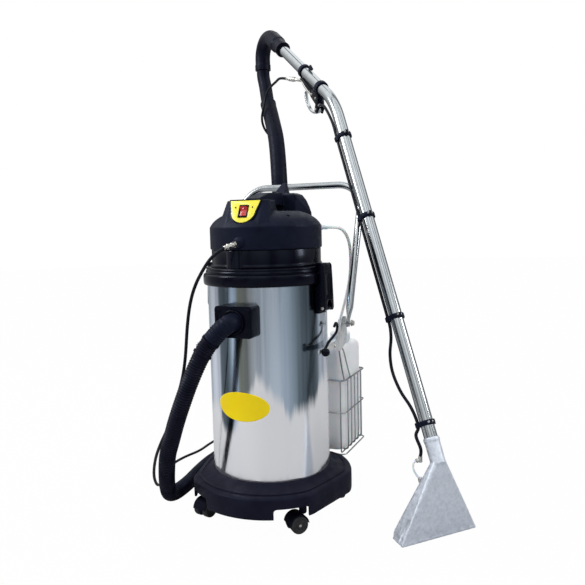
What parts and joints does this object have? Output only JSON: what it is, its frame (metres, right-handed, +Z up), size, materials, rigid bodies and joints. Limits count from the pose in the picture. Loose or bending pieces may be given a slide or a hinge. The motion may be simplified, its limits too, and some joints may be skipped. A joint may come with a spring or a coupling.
{
  "type": "carpet cleaner",
  "caption": "Upright spray-extraction carpet cleaner: steel drum on a castored base, lift-off vacuum head, tank in a wire basket, bent wand with a wide floor tool.",
  "frame": {"origin": "on the floor, in the middle of the footprint of the machine and its parked wand", "axes": "+Z up, -Y the machine's front with the switch panel and the hose inlet, +X the side the wand is parked on"},
  "size_m": [1.079, 1.0373, 1.6064],
  "materials": {
    "polished_steel": "polished, with soft vertical streaks",
    "black_plastic": "satin moulded",
    "gloss_plastic": "glossy moulded",
    "rubber": "satin flexible",
    "tyre": "satin, worn",
    "yellow_label": "printed label with a clear coat",
    "red_plastic": "glossy",
    "nickel": "plated, turned",
    "motor_can": "drawn steel",
    "white_plastic": "translucent blow-moulded",
    "float": "smooth",
    "zinc_plate": "plated sheet",
    "chrome": "bright",
    "chrome_wire": "bright wire",
    "cast_aluminium": "as cast, mottled"
  },
  "bodies": {
    "machine": {"base_chassis": "black_plastic", "drum_shell": "polished_steel", "drum_rim_band": "black_plastic", "inlet_block": "gloss_plastic", "inlet_elbow": "black_plastic", "front_badge": "yellow_label", "latch_bracket_left": "gloss_plastic", "latch_bracket_right": "gloss_plastic", "head_flange": "black_plastic", "head_housing": "gloss_plastic", "head_cover": "black_plastic", "vacuum_motor": "motor_can", "spray_pump": "motor_can", "filter_basket": "gloss_plastic", "control_panel": "yellow_label", "switch_bezel": "gloss_plastic", "solution_socket": "nickel", "suction_spigot": "white_plastic", "handle_bracket_left": "zinc_plate", "handle_bolt_left": "nickel", "handle_bracket_right": "zinc_plate", "handle_bolt_right": "nickel", "cable_hook": "gloss_plastic", "wire_basket": "chrome_wire", "basket_hanger_left": "chrome_wire", "basket_hanger_right": "chrome_wire", "solution_tank": "white_plastic", "pickup_tube": "white_plastic", "wand_tube": "chrome", "clamp_upper": "rubber", "clamp_middle": "rubber", "clamp_lower": "rubber", "clamp_foot": "rubber", "valve_body": "rubber", "hose_coupler": "nickel", "wand_hose": "rubber", "floor_tool": "cast_aluminium", "jet_elbow": "nickel", "jet_tube": "white_plastic", "wand_elbow": "black_plastic", "hose_cuff": "rubber", "vacuum_hose": "rubber", "solution_plug": "nickel", "solution_hose": "rubber", "suction_tube": "white_plastic"},
    "caster_front_left": {"caster_fork_front_left": "black_plastic"},
    "wheels_front_left": {"caster_wheels_front_left": "tyre"},
    "caster_front_right": {"caster_fork_front_right": "black_plastic"},
    "wheels_front_right": {"caster_wheels_front_right": "tyre"},
    "caster_rear_left": {"caster_fork_rear_left": "black_plastic"},
    "wheels_rear_left": {"caster_wheels_rear_left": "tyre"},
    "caster_rear_right": {"caster_fork_rear_right": "black_plastic"},
    "wheels_rear_right": {"caster_wheels_rear_right": "tyre"},
    "handle": {"push_handle": "chrome"},
    "latch_left": {"latch_lever_left": "black_plastic"},
    "latch_right": {"latch_lever_right": "black_plastic"},
    "rocker": {"rocker_switch": "red_plastic"},
    "trigger": {"trigger_lever": "chrome"},
    "float": {"float_ball": "float"},
    "cap": {"tank_cap": "white_plastic"}
  },
  "joints": [
    {"name": "caster_swivel_front_left", "type": "hinge", "parent": "machine", "child": "caster_front_left", "pos_m": [-0.26376, -0.35091, 0.08], "axis": [0, 0, 1], "continuous": true},
    {"name": "caster_roll_front_left", "type": "hinge", "parent": "caster_front_left", "child": "wheels_front_left", "pos_m": [-0.26792, -0.37048, 0.025], "axis": [0.9781, -0.2079, 0], "continuous": true},
    {"name": "caster_swivel_front_right", "type": "hinge", "parent": "machine", "child": "caster_front_right", "pos_m": [0.03624, -0.35091, 0.08], "axis": [0, 0, 1], "continuous": true},
    {"name": "caster_roll_front_right", "type": "hinge", "parent": "caster_front_right", "child": "wheels_front_right", "pos_m": [0.02286, -0.36578, 0.025], "axis": [0.7431, -0.6691, 0], "continuous": true},
    {"name": "caster_swivel_rear_left", "type": "hinge", "parent": "machine", "child": "caster_rear_left", "pos_m": [-0.26376, -0.10691, 0.08], "axis": [0, 0, 1], "continuous": true},
    {"name": "caster_roll_rear_left", "type": "hinge", "parent": "caster_rear_left", "child": "wheels_rear_left", "pos_m": [-0.28255, -0.11375, 0.025], "axis": [0.342, -0.9397, 0], "continuous": true},
    {"name": "caster_swivel_rear_right", "type": "hinge", "parent": "machine", "child": "caster_rear_right", "pos_m": [0.03624, -0.10691, 0.08], "axis": [0, 0, 1], "continuous": true},
    {"name": "caster_roll_rear_right", "type": "hinge", "parent": "caster_rear_right", "child": "wheels_rear_right", "pos_m": [0.0491, -0.12223, 0.025], "axis": [0.766, 0.6428, 0], "continuous": true},
    {"name": "handle_fold", "type": "hinge", "parent": "machine", "child": "handle", "pos_m": [-0.11376, -0.11391, 0.552], "axis": [-1, 0, 0], "range_deg": [0, 30]},
    {"name": "latch_open_right", "type": "hinge", "parent": "machine", "child": "latch_right", "pos_m": [0.0833, -0.25661, 0.616], "axis": [0.1392, 0.9903, 0], "range_deg": [0, 100]},
    {"name": "latch_open_left", "type": "hinge", "parent": "machine", "child": "latch_left", "pos_m": [-0.31082, -0.20122, 0.616], "axis": [-0.1392, -0.9903, 0], "range_deg": [0, 100]},
    {"name": "rocker_press", "type": "hinge", "parent": "machine", "child": "rocker", "pos_m": [-0.11376, -0.36363, 0.88785], "axis": [1, 0, 0], "range_deg": [0, 12]},
    {"name": "trigger_pull", "type": "hinge", "parent": "machine", "child": "trigger", "pos_m": [-0.0896, 0.16153, 1.23781], "axis": [-0.6561, -0.7547, 0], "range_deg": [0, 9], "stiffness_Nm_per_rad": 1.5, "springref_deg": -2.86},
    {"name": "float_rise", "type": "slide", "parent": "machine", "child": "float", "axis": [0, 0, 1], "range_m": [0, 0.03]},
    {"name": "cap_turn", "type": "hinge", "parent": "machine", "child": "cap", "pos_m": [0.00424, 0.07109, 0.48], "axis": [0, 0, 1], "range_deg": [0, 360]}
  ]
}
